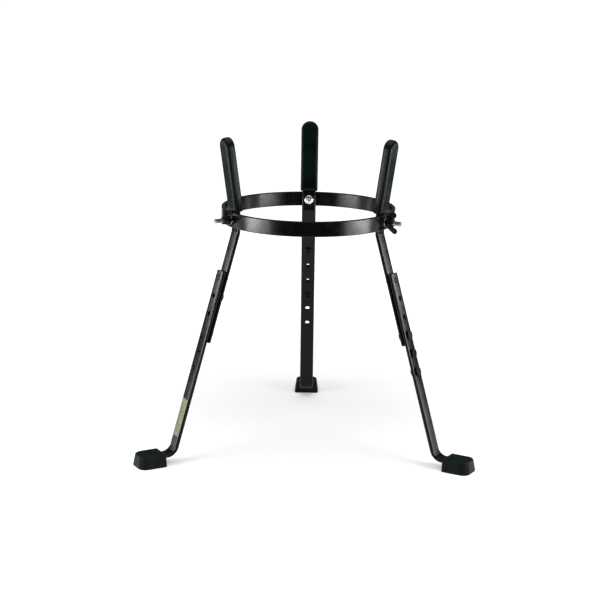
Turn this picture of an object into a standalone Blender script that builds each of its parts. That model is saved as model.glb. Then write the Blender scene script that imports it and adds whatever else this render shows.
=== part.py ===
# Height-adjustable stand for one conga.
#
# A flat steel hoop goes round the drum. Three legs, 120 degrees apart, are bolted to the inside of
# the hoop. Each leg is two flat bars that lap face to face. The upper bar holds the hoop and ends
# above it in a rubber sleeve that the drum leans on. The lower bar bends flat into a rubber foot.
# Two bolts through rows of holes join the bars, so each leg can be made longer or shorter.
#
# Every leg is drawn once, in its own frame: X points outward from the axis of the hoop, Y runs
# along the hoop and Z is up. An empty turns that frame to each leg's place. Lengths are in metres.

from math import acos, atan2, cos, pi, radians, sin, sqrt, tan

import bmesh
import bpy
from mathutils import Matrix, Vector

# Hoop
RING_OUTER_RADIUS = 0.155
RING_WALL = 0.0065
RING_HEIGHT = 0.026
RING_EDGE_RADIUS = 0.0012
RING_CENTRE_HEIGHT = 0.424
RING_SEGMENTS = 72

# Flat bar that both halves of each leg are cut from
BAR_WIDTH = 0.026
BAR_THICKNESS = 0.0065
BAR_CORNER = 0.003
BEND_RADIUS = 0.015
BAR_END_CORNER = 0.003

# Upper bar: straight and upright where it crosses the hoop, leaning outward above and below it
SLEEVE_LEAN = radians(8.6)
LEG_LEAN = radians(16.8)
UPPER_BEND_RISE = 0.0145
LOWER_BEND_DROP = 0.022

# Holes of the height adjustment, measured along the leg from the lower bend
FIRST_HOLE = 0.084
HOLE_PITCH = 0.033
UPPER_HOLES = 4
LOWER_HOLES = 6
BOLTED_HOLES = {"top": 0, "bottom": 3}
LOWER_BAR_MARGIN = 0.0123
UPPER_BAR_MARGIN = 0.017

# Rubber sleeve on the top end of each upper bar
SLEEVE_LENGTH = 0.1295
SLEEVE_SIDE_WALL = 0.0025
SLEEVE_FACE_WALL = 0.005
SLEEVE_CORNER = 0.0035
SLEEVE_TIP_WALL = 0.0035

# Rubber foot
FOOT_BEND_RADIUS = 0.020
FOOT_LENGTH = 0.050
FOOT_HEIGHT = 0.0225
FOOT_SIDE_WALL = 0.0102
FOOT_DRAFT = 0.0025
FOOT_OUTER_CORNER = 0.014
FOOT_INNER_CORNER = 0.004
FOOT_TOP_FILLET = 0.0035
FOOT_SOLE_FILLET = 0.0015
FOOT_SOLE = 0.0117
FOOT_STANDOFF = 0.005
BAR_IN_FOOT = 0.038

# Bolts, washers and wing nuts
BOLT_DIAMETER = 0.008
BOLT_HOLE_CLEARANCE = 0.0005
RING_BOLT_LENGTH = 0.045
RING_BOLT_HEAD_DIAMETER = 0.017
RING_BOLT_HEAD_HEIGHT = 0.0045
CROSS_RECESS_WIDTH = 0.0088
CROSS_RECESS_SLOT = 0.0024
CROSS_RECESS_DEPTH = 0.0026
WASHER_DIAMETER = 0.016
WASHER_THICKNESS = 0.0016
WING_NUT_BASE_DIAMETER = 0.016
WING_NUT_TOP_DIAMETER = 0.0135
WING_NUT_HUB_HEIGHT = 0.0145
WING_SPAN = 0.039
WING_RISE = 0.020
WING_TIP_RADIUS = 0.005
WING_ROOT_RADIUS = 0.0038
WING_ROOT_HEIGHT = 0.0054
WING_THICKNESS = 0.0034
WING_EDGE = 0.0008
HEIGHT_BOLT_HEAD_DIAMETER = 0.014
HEIGHT_BOLT_HEAD_HEIGHT = 0.0042
HEX_SOCKET_WIDTH = 0.005
HEX_SOCKET_DEPTH = 0.0025

# Gap left between pieces that touch on the real stand
FIT_GAP = 0.0003

ARC_STEP = radians(22.5)
BEND_STEP = radians(8)
CORNER_STEP = radians(45)
ROUND_SEGMENTS = 16

# Each leg's place round the hoop, and how far its wing nut happens to be turned
LEGS = {
    "back": {"azimuth": radians(90), "wing_turn": radians(0)},
    "left": {"azimuth": radians(210), "wing_turn": radians(-78)},
    "right": {"azimuth": radians(330), "wing_turn": radians(8)},
}

# Places that follow from the sizes above
RING_INNER_RADIUS = RING_OUTER_RADIUS - RING_WALL
BAR_FLAT = BAR_WIDTH / 2 - BAR_CORNER
# A flat bar rests on the inside of the hoop along the two edges of its outer face
UPPER_BAR_X = (sqrt((RING_INNER_RADIUS * cos(pi / RING_SEGMENTS)) ** 2 - BAR_FLAT ** 2)
               - FIT_GAP - BAR_THICKNESS / 2)
LOWER_BEND_HEIGHT = RING_CENTRE_HEIGHT - LOWER_BEND_DROP
UPPER_BEND_HEIGHT = RING_CENTRE_HEIGHT + UPPER_BEND_RISE
LAP_OFFSET = BAR_THICKNESS + FIT_GAP
UPPER_BAR_END = FIRST_HOLE + (UPPER_HOLES - 1) * HOLE_PITCH + UPPER_BAR_MARGIN
LOWER_BAR_END = FIRST_HOLE - LOWER_BAR_MARGIN
FOOT_BAR_HEIGHT = FOOT_SOLE + FIT_GAP + BAR_THICKNESS / 2
BOLT_HOLE_RADIUS = BOLT_DIAMETER / 2 + BOLT_HOLE_CLEARANCE


def on_leg(distance, outward=0.0):
    """Point (x, z) at a distance down the leg and out from the middle of the upper bar."""
    return (UPPER_BAR_X + distance * sin(LEG_LEAN) + outward * cos(LEG_LEAN),
            LOWER_BEND_HEIGHT - distance * cos(LEG_LEAN) + outward * sin(LEG_LEAN))


def tangent_length(turn, radius=BEND_RADIUS):
    """Length of bar that a bend takes up on each side of its corner."""
    return radius * tan(abs(turn) / 2)


# Corner where the middle of the lower bar would meet the middle of its flat end
FOOT_TURN = pi / 2 - LEG_LEAN
LOWER_CORNER_DISTANCE = ((LOWER_BEND_HEIGHT + LAP_OFFSET * sin(LEG_LEAN) - FOOT_BAR_HEIGHT)
                         / cos(LEG_LEAN))
LOWER_CORNER_X = on_leg(LOWER_CORNER_DISTANCE, LAP_OFFSET)[0]
FOOT_INNER_X = LOWER_CORNER_X + tangent_length(FOOT_TURN, FOOT_BEND_RADIUS) + FOOT_STANDOFF
FOOT_OUTER_X = FOOT_INNER_X + FOOT_LENGTH
FOOT_HALF_WIDTH = BAR_WIDTH / 2 + FIT_GAP + FOOT_SIDE_WALL

# The origin is under the middle of the box round the whole stand. The back foot points along +Y,
# and a front foot reaches towards -Y with its outer corner.
BACK_REACH = FOOT_OUTER_X
FRONT_REACH = ((FOOT_OUTER_X - FOOT_OUTER_CORNER) * cos(radians(60))
               + (FOOT_HALF_WIDTH - FOOT_OUTER_CORNER) * sin(radians(60)) + FOOT_OUTER_CORNER)
RING_AXIS_Y = (FRONT_REACH - BACK_REACH) / 2


def clear_scene():
    for obj in list(bpy.data.objects):
        bpy.data.objects.remove(obj, do_unlink=True)


def finish_material(name, colour, roughness, metallic):
    material = bpy.data.materials.new(name)
    material.use_nodes = True
    shader = material.node_tree.nodes["Principled BSDF"]
    shader.inputs["Base Color"].default_value = (*colour, 1.0)
    shader.inputs["Roughness"].default_value = roughness
    shader.inputs["Metallic"].default_value = metallic
    material.diffuse_color = (*colour, 1.0)
    return material


def black_enamel(name):
    return finish_material(name, (0.012, 0.013, 0.013), 0.28, 0.0)


def black_rubber(name):
    return finish_material(name, (0.020, 0.026, 0.024), 0.62, 0.0)


def black_zinc(name):
    return finish_material(name, (0.030, 0.028, 0.026), 0.38, 1.0)


def bright_chrome(name):
    return finish_material(name, (0.78, 0.78, 0.78), 0.14, 1.0)


def make_object(name, bm, material=None, parent=None, origin=(0.0, 0.0, 0.0)):
    """Object from a mesh drawn in its parent's frame, with its own origin at the given point."""
    place = Matrix.Translation(origin)
    bmesh.ops.transform(bm, matrix=place.inverted(), verts=bm.verts[:])
    mesh = bpy.data.meshes.new(name)
    bm.to_mesh(mesh)
    bm.free()
    mesh.shade_smooth()
    mesh.set_sharp_from_angle(angle=radians(35))
    obj = bpy.data.objects.new(name, mesh)
    bpy.context.collection.objects.link(obj)
    obj.parent = parent
    obj.matrix_local = place
    if material:
        mesh.materials.append(material)
    return obj


def hidden_tool(name, bm, parent=None):
    """Shape that another object is cut or joined with."""
    tool = make_object(name, bm, parent=parent)
    tool.hide_render = True
    tool.display_type = "WIRE"
    return tool


def combine(obj, tool, operation):
    modifier = obj.modifiers.new(tool.name, "BOOLEAN")
    modifier.object = tool
    modifier.operation = operation
    modifier.solver = "EXACT"


def loft(rings, bm=None):
    """Closed solid through a row of outlines that all have the same number of points."""
    bm = bm or bmesh.new()
    loops = [[bm.verts.new(point) for point in ring] for ring in rings]
    faces = [bm.faces.new(loops[0]), bm.faces.new(loops[-1])]
    for near, far in zip(loops, loops[1:]):
        for index, vert in enumerate(near):
            after = (index + 1) % len(near)
            faces.append(bm.faces.new((vert, near[after], far[after], far[index])))
    bmesh.ops.recalc_face_normals(bm, faces=faces)
    return bm


def arc(centre, radius, start, end, step=ARC_STEP):
    """Points of a round stretch, both ends included."""
    count = max(1, round(abs(end - start) / step))
    angles = [start + (end - start) * index / count for index in range(count + 1)]
    return [(centre[0] + radius * cos(angle), centre[1] + radius * sin(angle)) for angle in angles]


def rounded_rectangle(half_across, half_through, corner, step=CORNER_STEP):
    """Outline centred on zero, with an arc at each corner."""
    points = []
    for quarter, (side, face) in enumerate(((1, 1), (-1, 1), (-1, -1), (1, -1))):
        centre = (side * (half_across - corner), face * (half_through - corner))
        points += arc(centre, corner, quarter * pi / 2, (quarter + 1) * pi / 2, step)
    return points


def revolve(profile, segments=ROUND_SEGMENTS):
    """Solid turned round the X axis from (x, radius) points. A radius of 0 closes it on the axis."""
    bm = bmesh.new()
    verts = [bm.verts.new((x, 0.0, radius)) for x, radius in profile]
    edges = [bm.edges.new(pair) for pair in zip(verts, verts[1:])]
    if profile[0][1] > 0:
        edges.append(bm.edges.new((verts[-1], verts[0])))
    bmesh.ops.spin(bm, geom=verts + edges, cent=(0, 0, 0), axis=(1, 0, 0), angle=2 * pi,
                   steps=segments, use_merge=True)
    bmesh.ops.remove_doubles(bm, verts=bm.verts[:], dist=1e-6)
    bmesh.ops.recalc_face_normals(bm, faces=bm.faces[:])
    return bm


def rod(radius, start, end, segments=ROUND_SEGMENTS):
    return revolve([(start, 0.0), (start, radius), (end, radius), (end, 0.0)], segments)


def bent_path(start, heading, moves, radius=BEND_RADIUS):
    """Stations (x, z, heading) along the middle of a bar: straight runs, each with a bend after it.

    A heading is measured from straight up towards outward.
    """
    x, z = start
    stations = [(x, z, heading)]
    for run, turn in moves:
        x, z = x + run * sin(heading), z + run * cos(heading)
        stations.append((x, z, heading))
        steps = max(1, round(abs(turn) / BEND_STEP)) if turn else 0
        for _ in range(steps):
            part = turn / steps
            chord = 2 * radius * sin(abs(part) / 2)
            x += chord * sin(heading + part / 2)
            z += chord * cos(heading + part / 2)
            heading += part
            stations.append((x, z, heading))
    return stations


def end_stations(tip, inward, corner, width):
    """Stations that round the corners of a bar's end, from the tip inward."""
    x, z, heading = tip
    stations = []
    for setback, side in reversed(arc((corner, width / 2 - corner), corner, pi / 2, pi)):
        half_width = max(side, BAR_CORNER * 1.1)
        if stations and half_width <= stations[-1][3]:
            continue
        stations.append((x + inward * setback * sin(heading), z + inward * setback * cos(heading),
                         heading, half_width))
    return stations


def bar_stations(path, first_corner, last_corner):
    """Stations with the half width of the bar at each, narrowed where its ends are rounded."""
    middle = [(*station, BAR_WIDTH / 2) for station in path[1:-1]]
    return (end_stations(path[0], 1, first_corner, BAR_WIDTH) + middle
            + list(reversed(end_stations(path[-1], -1, last_corner, BAR_WIDTH))))


def flat_bar(stations, grow=0.0):
    """Flat bar swept through its stations. It can be grown to make the pocket that it fits."""
    rings = []
    for x, z, heading, half_width in stations:
        outline = rounded_rectangle(half_width + grow, BAR_THICKNESS / 2 + grow, BAR_CORNER)
        rings.append([(x + through * cos(heading), across, z - through * sin(heading))
                      for across, through in outline])
    return loft(rings)


def upper_bar_stations():
    """From the bottom end up: along the leg, past the hoop and up the sleeve."""
    crossing = LOWER_BEND_DROP + UPPER_BEND_RISE
    leg_run = UPPER_BAR_END - tangent_length(LEG_LEAN)
    hoop_run = crossing - tangent_length(LEG_LEAN) - tangent_length(SLEEVE_LEAN)
    sleeve_run = SLEEVE_LENGTH - SLEEVE_TIP_WALL
    path = bent_path(on_leg(UPPER_BAR_END), -LEG_LEAN,
                     [(leg_run, LEG_LEAN), (hoop_run, SLEEVE_LEAN), (sleeve_run, 0.0)])
    return bar_stations(path, BAR_END_CORNER, BAR_WIDTH / 2)


def lower_bar_stations():
    """From the end in the foot: inward, round the bend and up the leg."""
    foot_run = FOOT_STANDOFF + BAR_IN_FOOT
    leg_run = (LOWER_CORNER_DISTANCE - tangent_length(FOOT_TURN, FOOT_BEND_RADIUS)
               - LOWER_BAR_END)
    path = bent_path((FOOT_INNER_X + BAR_IN_FOOT, FOOT_BAR_HEIGHT), -pi / 2,
                     [(foot_run, FOOT_TURN), (leg_run, 0.0)], FOOT_BEND_RADIUS)
    return bar_stations(path, BAR_END_CORNER, BAR_END_CORNER)


def leg_hole_places(count):
    return [FIRST_HOLE + index * HOLE_PITCH for index in range(count)]


def leg_cross_axis(distance, outward=0.0):
    """Matrix that takes the X axis to the line square through the bars at a distance down the leg."""
    x, z = on_leg(distance, outward)
    return Matrix.Translation((x, 0.0, z)) @ Matrix.Rotation(-LEG_LEAN, 4, "Y")


def hole_tool(name, places, parent):
    """One rod for each hole, long enough to pass through every bar."""
    bm = bmesh.new()
    reach = BAR_THICKNESS * 4
    for place in places:
        pin = rod(BOLT_HOLE_RADIUS, -reach, reach)
        bmesh.ops.transform(pin, matrix=place, verts=pin.verts[:])
        part = bpy.data.meshes.new(name)
        pin.to_mesh(part)
        pin.free()
        bm.from_mesh(part)
        bpy.data.meshes.remove(part)
    return hidden_tool(name, bm, parent)


def build_ring(centre):
    """Hoop rolled from flat bar, with a hole for each leg's bolt."""
    outline = rounded_rectangle(RING_WALL / 2, RING_HEIGHT / 2, RING_EDGE_RADIUS)
    middle = RING_OUTER_RADIUS - RING_WALL / 2
    bm = bmesh.new()
    verts = [bm.verts.new((middle + out, 0.0, RING_CENTRE_HEIGHT + up)) for out, up in outline]
    edges = [bm.edges.new((vert, verts[index - 1])) for index, vert in enumerate(verts)]
    bmesh.ops.spin(bm, geom=verts + edges, cent=(0, 0, 0), axis=(0, 0, 1), angle=2 * pi,
                   steps=RING_SEGMENTS, use_merge=True)
    bmesh.ops.recalc_face_normals(bm, faces=bm.faces[:])
    ring = make_object("support_ring", bm, black_enamel("ring_enamel"), centre)
    holes = [Matrix.Rotation(leg["azimuth"], 4, "Z")
             @ Matrix.Translation((middle, 0.0, RING_CENTRE_HEIGHT)) for leg in LEGS.values()]
    combine(ring, hole_tool("ring_holes", holes, centre), "DIFFERENCE")


def build_upper_bar(name, leg):
    bar = make_object(f"{name}_upper_bar", flat_bar(upper_bar_stations()),
                      black_enamel(f"{name}_upper_bar_enamel"), leg,
                      (UPPER_BAR_X, 0.0, RING_CENTRE_HEIGHT))
    holes = [Matrix.Translation((UPPER_BAR_X, 0.0, RING_CENTRE_HEIGHT))]
    holes += [leg_cross_axis(distance) for distance in leg_hole_places(UPPER_HOLES)]
    combine(bar, hole_tool(f"{name}_upper_holes", holes, leg), "DIFFERENCE")


def sleeve_frame():
    """Bottom of the sleeve, just above the upper bend, with the leaning length of bar as its Z."""
    start = tangent_length(SLEEVE_LEAN) + FIT_GAP
    x = UPPER_BAR_X + start * sin(SLEEVE_LEAN)
    z = UPPER_BEND_HEIGHT + start * cos(SLEEVE_LEAN)
    return Matrix.Translation((x, 0.0, z)) @ Matrix.Rotation(SLEEVE_LEAN, 4, "Y")


def build_sleeve(name, leg):
    """Moulded rubber sleeve with a half-round top and a blind pocket for the bar."""
    half_across = BAR_WIDTH / 2 + FIT_GAP + SLEEVE_SIDE_WALL
    half_through = BAR_THICKNESS / 2 + FIT_GAP + SLEEVE_FACE_WALL
    levels = [(0.0, half_across, half_through)]
    for drop, side in arc((half_across, 0.0), half_across, pi / 2, pi):
        if side > half_across * 0.2:
            depth = min(drop, SLEEVE_CORNER)
            rounding = SLEEVE_CORNER - sqrt(SLEEVE_CORNER ** 2 - (SLEEVE_CORNER - depth) ** 2)
            levels.append((SLEEVE_LENGTH - drop, side, half_through - rounding))
    rings = []
    for height, across, through in levels:
        corner = min(SLEEVE_CORNER, across * 0.95, through * 0.95)
        rings.append([(out, side, height) for side, out in
                      rounded_rectangle(across, through, corner)])
    frame = sleeve_frame()
    bm = loft(rings)
    bmesh.ops.transform(bm, matrix=frame, verts=bm.verts[:])
    sleeve = make_object(f"{name}_support_sleeve", bm, black_rubber(f"{name}_sleeve_rubber"), leg,
                         frame.translation)
    pocket = flat_bar(upper_bar_stations(), FIT_GAP)
    combine(sleeve, hidden_tool(f"{name}_sleeve_pocket", pocket, leg), "DIFFERENCE")


def build_lower_bar(name, leg):
    x, z = on_leg(FIRST_HOLE, LAP_OFFSET)
    bar = make_object(f"{name}_lower_bar", flat_bar(lower_bar_stations()),
                      black_enamel(f"{name}_lower_bar_enamel"), leg, (x, 0.0, z))
    holes = [leg_cross_axis(distance) for distance in leg_hole_places(LOWER_HOLES)]
    combine(bar, hole_tool(f"{name}_lower_holes", holes, leg), "DIFFERENCE")


def foot_outline(inset, draft):
    """Plan of the foot: square at the end the bar enters and rounded at the outer end.

    The inset moves every side in. The draft moves all but the upright end where the bar enters.
    """
    middle = (FOOT_INNER_X + FOOT_OUTER_X - draft) / 2
    half_length = (FOOT_LENGTH - draft) / 2 - inset
    half_width = FOOT_HALF_WIDTH - draft - inset
    points = []
    for quarter, (end, side) in enumerate(((1, 1), (-1, 1), (-1, -1), (1, -1))):
        corner = FOOT_OUTER_CORNER if end > 0 else FOOT_INNER_CORNER
        centre = (middle + end * (half_length - corner), side * (half_width - corner))
        points += arc(centre, corner, quarter * pi / 2, (quarter + 1) * pi / 2)
    return points


def build_foot(name, leg):
    """Moulded rubber foot that tapers upward, with a pocket for the flat end of the lower bar."""
    sole = arc((FOOT_SOLE_FILLET, FOOT_SOLE_FILLET), FOOT_SOLE_FILLET, -pi / 2, -pi, pi / 4)
    top = arc((FOOT_TOP_FILLET, FOOT_HEIGHT - FOOT_TOP_FILLET), FOOT_TOP_FILLET, pi, pi / 2, pi / 6)
    rings = [[(x, y, height) for x, y in foot_outline(inset, draft)]
             for edge, draft in ((sole, 0.0), (top, FOOT_DRAFT)) for inset, height in edge]
    x, z = on_leg(FIRST_HOLE, LAP_OFFSET)
    foot = make_object(f"{name}_rubber_foot", loft(rings), black_rubber(f"{name}_foot_rubber"),
                       leg, (x, 0.0, z))
    pocket = flat_bar(lower_bar_stations(), FIT_GAP)
    combine(foot, hidden_tool(f"{name}_foot_pocket", pocket, leg), "DIFFERENCE")


def domed_bolt(head_diameter, head_height, length):
    """Bolt along X with the underside of its head at zero and its shank towards +X."""
    rim = head_height * 0.25
    rise = head_height - rim
    radius = head_diameter / 2
    dome = [(-rim - rise * sin(angle), radius * cos(angle)) for angle in
            (pi / 2, radians(65), radians(45), radians(25), 0.0)]
    dome[0] = (-head_height, 0.0)
    shank = BOLT_DIAMETER / 2
    chamfer = shank * 0.2
    return revolve(dome + [(0.0, radius), (0.0, shank), (length - chamfer, shank),
                           (length, shank - chamfer), (length, 0.0)])


def cross_outline(arm):
    """Outline of a cross recess whose arms reach this far from the middle."""
    slot = CROSS_RECESS_SLOT / 2
    points = []
    for quarter in range(4):
        turn = Matrix.Rotation(quarter * pi / 2, 2)
        points += [tuple(turn @ Vector(point)) for point in ((arm, -slot), (arm, slot), (slot, slot))]
    return points


def build_ring_bolt(name, leg):
    """Bolt through the upper bar and the hoop, with a cross recess in its domed head."""
    seat = UPPER_BAR_X - BAR_THICKNESS / 2 - FIT_GAP
    bm = domed_bolt(RING_BOLT_HEAD_DIAMETER, RING_BOLT_HEAD_HEIGHT, RING_BOLT_LENGTH)
    place = Matrix.Translation((seat, 0.0, RING_CENTRE_HEIGHT))
    bmesh.ops.transform(bm, matrix=place, verts=bm.verts[:])
    bolt = make_object(f"{name}_ring_bolt", bm, bright_chrome(f"{name}_ring_bolt_chrome"), leg,
                       place.translation)
    outside, floor = -2 * RING_BOLT_HEAD_HEIGHT, CROSS_RECESS_DEPTH - RING_BOLT_HEAD_HEIGHT
    cross = loft([[(x, y, z) for y, z in cross_outline(CROSS_RECESS_WIDTH * share / 2)]
                  for x, share in ((outside, 1.0), (-RING_BOLT_HEAD_HEIGHT, 1.0), (floor, 0.5))])
    bmesh.ops.transform(cross, matrix=place, verts=cross.verts[:])
    recess = hidden_tool(f"{name}_cross_recess", cross, leg)
    combine(bolt, recess, "DIFFERENCE")


def washer_seat():
    return RING_OUTER_RADIUS + FIT_GAP


def build_washer(name, leg):
    hole = BOLT_HOLE_RADIUS
    edge = WASHER_THICKNESS * 0.2
    outer = WASHER_DIAMETER / 2
    bm = revolve([(0.0, hole), (0.0, outer), (WASHER_THICKNESS - edge, outer),
                  (WASHER_THICKNESS, outer - edge), (WASHER_THICKNESS, hole)])
    place = Matrix.Translation((washer_seat(), 0.0, RING_CENTRE_HEIGHT))
    bmesh.ops.transform(bm, matrix=place, verts=bm.verts[:])
    make_object(f"{name}_ring_washer", bm, bright_chrome(f"{name}_washer_zinc"), leg,
                place.translation)


def lobe_outline(root, root_radius, tip, tip_radius):
    """Outline round two circles and the straight lines that touch both."""
    along = atan2(tip[1] - root[1], tip[0] - root[0])
    reach = sqrt((tip[0] - root[0]) ** 2 + (tip[1] - root[1]) ** 2)
    spread = acos((root_radius - tip_radius) / reach)
    return (arc(tip, tip_radius, along - spread, along + spread)
            + arc(root, root_radius, along + spread, along - spread + 2 * pi, CORNER_STEP))


def wing(side):
    """One wing of the nut: a flat lobe that flares up and away from the hub."""
    root = (WING_ROOT_HEIGHT, BOLT_HOLE_RADIUS + WING_ROOT_RADIUS)
    tip = (WING_RISE - WING_TIP_RADIUS, WING_SPAN / 2 - WING_TIP_RADIUS)
    half = WING_THICKNESS / 2
    rings = []
    for y, inset in ((-half, WING_EDGE), (WING_EDGE - half, 0.0), (half - WING_EDGE, 0.0),
                     (half, WING_EDGE)):
        outline = lobe_outline(root, WING_ROOT_RADIUS - inset, tip, WING_TIP_RADIUS - inset)
        rings.append([(x, y, side * z) for x, z in outline])
    return rings


def build_wing_nut(name, leg, turn):
    """Wing nut: a tapered hub with a flange, a bore and two flared wings."""
    bore = BOLT_DIAMETER / 2 + FIT_GAP
    base, top = WING_NUT_BASE_DIAMETER / 2, WING_NUT_TOP_DIAMETER / 2
    flange = WING_NUT_HUB_HEIGHT * 0.2
    edge = WING_NUT_HUB_HEIGHT * 0.08
    hub = revolve([(0.0, bore), (0.0, base - edge), (edge, base), (flange, base),
                   (WING_NUT_HUB_HEIGHT - edge, top), (WING_NUT_HUB_HEIGHT, top - edge),
                   (WING_NUT_HUB_HEIGHT, bore)])
    wings = bmesh.new()
    for side in (1, -1):
        loft(wing(side), wings)
    seat = washer_seat() + WASHER_THICKNESS + FIT_GAP
    place = Matrix.Translation((seat, 0.0, RING_CENTRE_HEIGHT)) @ Matrix.Rotation(turn, 4, "X")
    for bm in (hub, wings):
        bmesh.ops.transform(bm, matrix=place, verts=bm.verts[:])
    nut = make_object(f"{name}_wing_nut", hub, black_zinc(f"{name}_wing_nut_zinc"), leg,
                      place.translation)
    combine(nut, hidden_tool(f"{name}_wings", wings, leg), "UNION")


def build_height_bolt(name, end, hole, leg):
    """Button-head bolt from the inner side, through the upper bar and into the lower bar."""
    bm = domed_bolt(HEIGHT_BOLT_HEAD_DIAMETER, HEIGHT_BOLT_HEAD_HEIGHT,
                    2 * BAR_THICKNESS + 2 * FIT_GAP)
    place = leg_cross_axis(FIRST_HOLE + hole * HOLE_PITCH, -BAR_THICKNESS / 2 - FIT_GAP)
    bmesh.ops.transform(bm, matrix=place, verts=bm.verts[:])
    bolt = make_object(f"{name}_height_bolt_{end}", bm, black_zinc(f"{name}_bolt_{end}_zinc"), leg,
                       place.translation)
    depth = HEIGHT_BOLT_HEAD_HEIGHT + HEX_SOCKET_DEPTH
    socket = revolve([(-depth, 0.0), (-depth, HEX_SOCKET_WIDTH / sqrt(3)),
                      (HEX_SOCKET_DEPTH - HEIGHT_BOLT_HEAD_HEIGHT, HEX_SOCKET_WIDTH / sqrt(3)),
                      (HEX_SOCKET_DEPTH - HEIGHT_BOLT_HEAD_HEIGHT, 0.0)], 6)
    bmesh.ops.transform(socket, matrix=place, verts=socket.verts[:])
    combine(bolt, hidden_tool(f"{name}_hex_socket_{end}", socket, leg), "DIFFERENCE")


def make_frame(name, parent, place):
    frame = bpy.data.objects.new(name, None)
    bpy.context.collection.objects.link(frame)
    frame.parent = parent
    frame.matrix_local = place
    return frame


def build_leg(name, leg, centre):
    frame = make_frame(f"{name}_leg", centre, Matrix.Rotation(leg["azimuth"], 4, "Z"))
    build_upper_bar(name, frame)
    build_sleeve(name, frame)
    build_ring_bolt(name, frame)
    build_washer(name, frame)
    build_wing_nut(name, frame, leg["wing_turn"])
    build_lower_bar(name, frame)
    build_foot(name, frame)
    for end, hole in BOLTED_HOLES.items():
        build_height_bolt(name, end, hole, frame)


def main():
    clear_scene()
    centre = make_frame("ring_axis", None, Matrix.Translation(Vector((0.0, RING_AXIS_Y, 0.0))))
    build_ring(centre)
    for name, leg in LEGS.items():
        build_leg(name, leg, centre)


main()
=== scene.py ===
# Looks of the conga stand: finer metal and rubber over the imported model, a label and a studio.

from math import cos, pi, radians, sin, sqrt, tan

import bpy
import numpy as np
from mathutils import Matrix, Vector


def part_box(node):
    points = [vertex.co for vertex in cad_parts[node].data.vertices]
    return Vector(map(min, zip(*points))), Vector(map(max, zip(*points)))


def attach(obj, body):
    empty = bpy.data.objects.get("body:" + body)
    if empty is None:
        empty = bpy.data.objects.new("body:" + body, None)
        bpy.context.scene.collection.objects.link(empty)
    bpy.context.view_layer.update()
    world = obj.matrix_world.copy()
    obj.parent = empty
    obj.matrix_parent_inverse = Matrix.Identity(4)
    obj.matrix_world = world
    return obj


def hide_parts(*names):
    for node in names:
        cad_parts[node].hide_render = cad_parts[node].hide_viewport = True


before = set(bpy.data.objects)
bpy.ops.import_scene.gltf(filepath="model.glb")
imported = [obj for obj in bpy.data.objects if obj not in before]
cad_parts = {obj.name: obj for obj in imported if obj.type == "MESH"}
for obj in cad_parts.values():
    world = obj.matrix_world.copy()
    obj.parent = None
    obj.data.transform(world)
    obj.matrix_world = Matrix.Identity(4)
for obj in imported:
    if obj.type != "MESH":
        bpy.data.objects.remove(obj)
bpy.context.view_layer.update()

print("frame loaded:", len(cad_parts), "nodes")


# Where the legs stand. Each leg is drawn with x pointing outward, y along the hoop and z up.

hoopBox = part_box("support_ring")
stand = {
    "axis": (hoopBox[0] + hoopBox[1]) / 2,
    "azimuths": {"back": radians(90), "left": radians(210), "right": radians(330)},
}


def legMatrix(name):
    axis = stand["axis"]
    turn = Matrix.Rotation(stand["azimuths"][name], 4, "Z")
    return Matrix.Translation((axis.x, axis.y, 0)) @ turn


def onLeg(points, name):   # turns leg points round the stand's axis and moves them to the stand
    place = np.array(legMatrix(name))
    return np.asarray(points, float) @ place[:3, :3].T + place[:3, 3]


def addMesh(name, points, faces):   # one object at the origin with its place in its vertices
    mesh = bpy.data.meshes.new(name)
    mesh.from_pydata(points.reshape(-1, 3).tolist(), [], faces)
    mesh.validate()
    obj = bpy.data.objects.new(name, mesh)
    bpy.context.scene.collection.objects.link(obj)
    return obj


def gridFaces(rows, columns):   # quads between neighbouring rows, each row closed on itself
    here = np.arange(rows - 1)[:, None] * columns + np.arange(columns)[None, :]
    after = np.arange(rows - 1)[:, None] * columns + (np.arange(columns)[None, :] + 1) % columns
    return np.stack([here, after, after + columns, here + columns], -1).reshape(-1, 4).tolist()


def closedGrid(name, grid):   # rows of closed loops, with a fan to a middle point at each end
    rows, columns = grid.shape[:2]
    points = np.concatenate([grid.reshape(-1, 3), grid[0].mean(0)[None], grid[-1].mean(0)[None]])
    ring, top = np.arange(columns), (rows - 1) * columns
    first, last = rows * columns, rows * columns + 1
    startFan = np.stack([np.full(columns, first), (ring + 1) % columns, ring], -1).tolist()
    endFan = np.stack([np.full(columns, last), top + ring, top + (ring + 1) % columns], -1).tolist()
    return faceOutward(addMesh(name, points, gridFaces(rows, columns) + startFan + endFan))


def tubeGrid(name, grid):   # rows of closed loops whose last row joins the first
    rows, columns = grid.shape[:2]
    ring, top = np.arange(columns), (rows - 1) * columns
    after = (ring + 1) % columns
    seam = np.stack([top + ring, top + after, after, ring], -1).tolist()
    return faceOutward(addMesh(name, grid, gridFaces(rows, columns) + seam))


def faceOutward(obj):   # normals point out of a closed surface, whichever way the grid ran
    mesh = obj.data
    mesh.calc_loop_triangles()
    count = len(mesh.loop_triangles)
    corners = np.empty(count * 3, np.int32)
    mesh.loop_triangles.foreach_get("vertices", corners)
    points = np.empty(len(mesh.vertices) * 3)
    mesh.vertices.foreach_get("co", points)
    a, b, c = points.reshape(-1, 3)[corners.reshape(-1, 3)].transpose(1, 0, 2)
    if np.einsum("ij,ij->i", a, np.cross(b, c)).sum() < 0:
        mesh.flip_normals()
    return obj


def smooth(obj, angle=30):   # smooth shading with a sharp edge past the angle
    obj.data.shade_smooth()
    obj.data.set_sharp_from_angle(angle=radians(angle))
    return obj


def baked(obj):   # the object's modifiers are applied to its mesh
    seen = bpy.context.evaluated_depsgraph_get()
    mesh = bpy.data.meshes.new_from_object(obj.evaluated_get(seen))
    obj.modifiers.clear()
    old = obj.data
    obj.data = mesh
    bpy.data.meshes.remove(old)
    return obj


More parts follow.
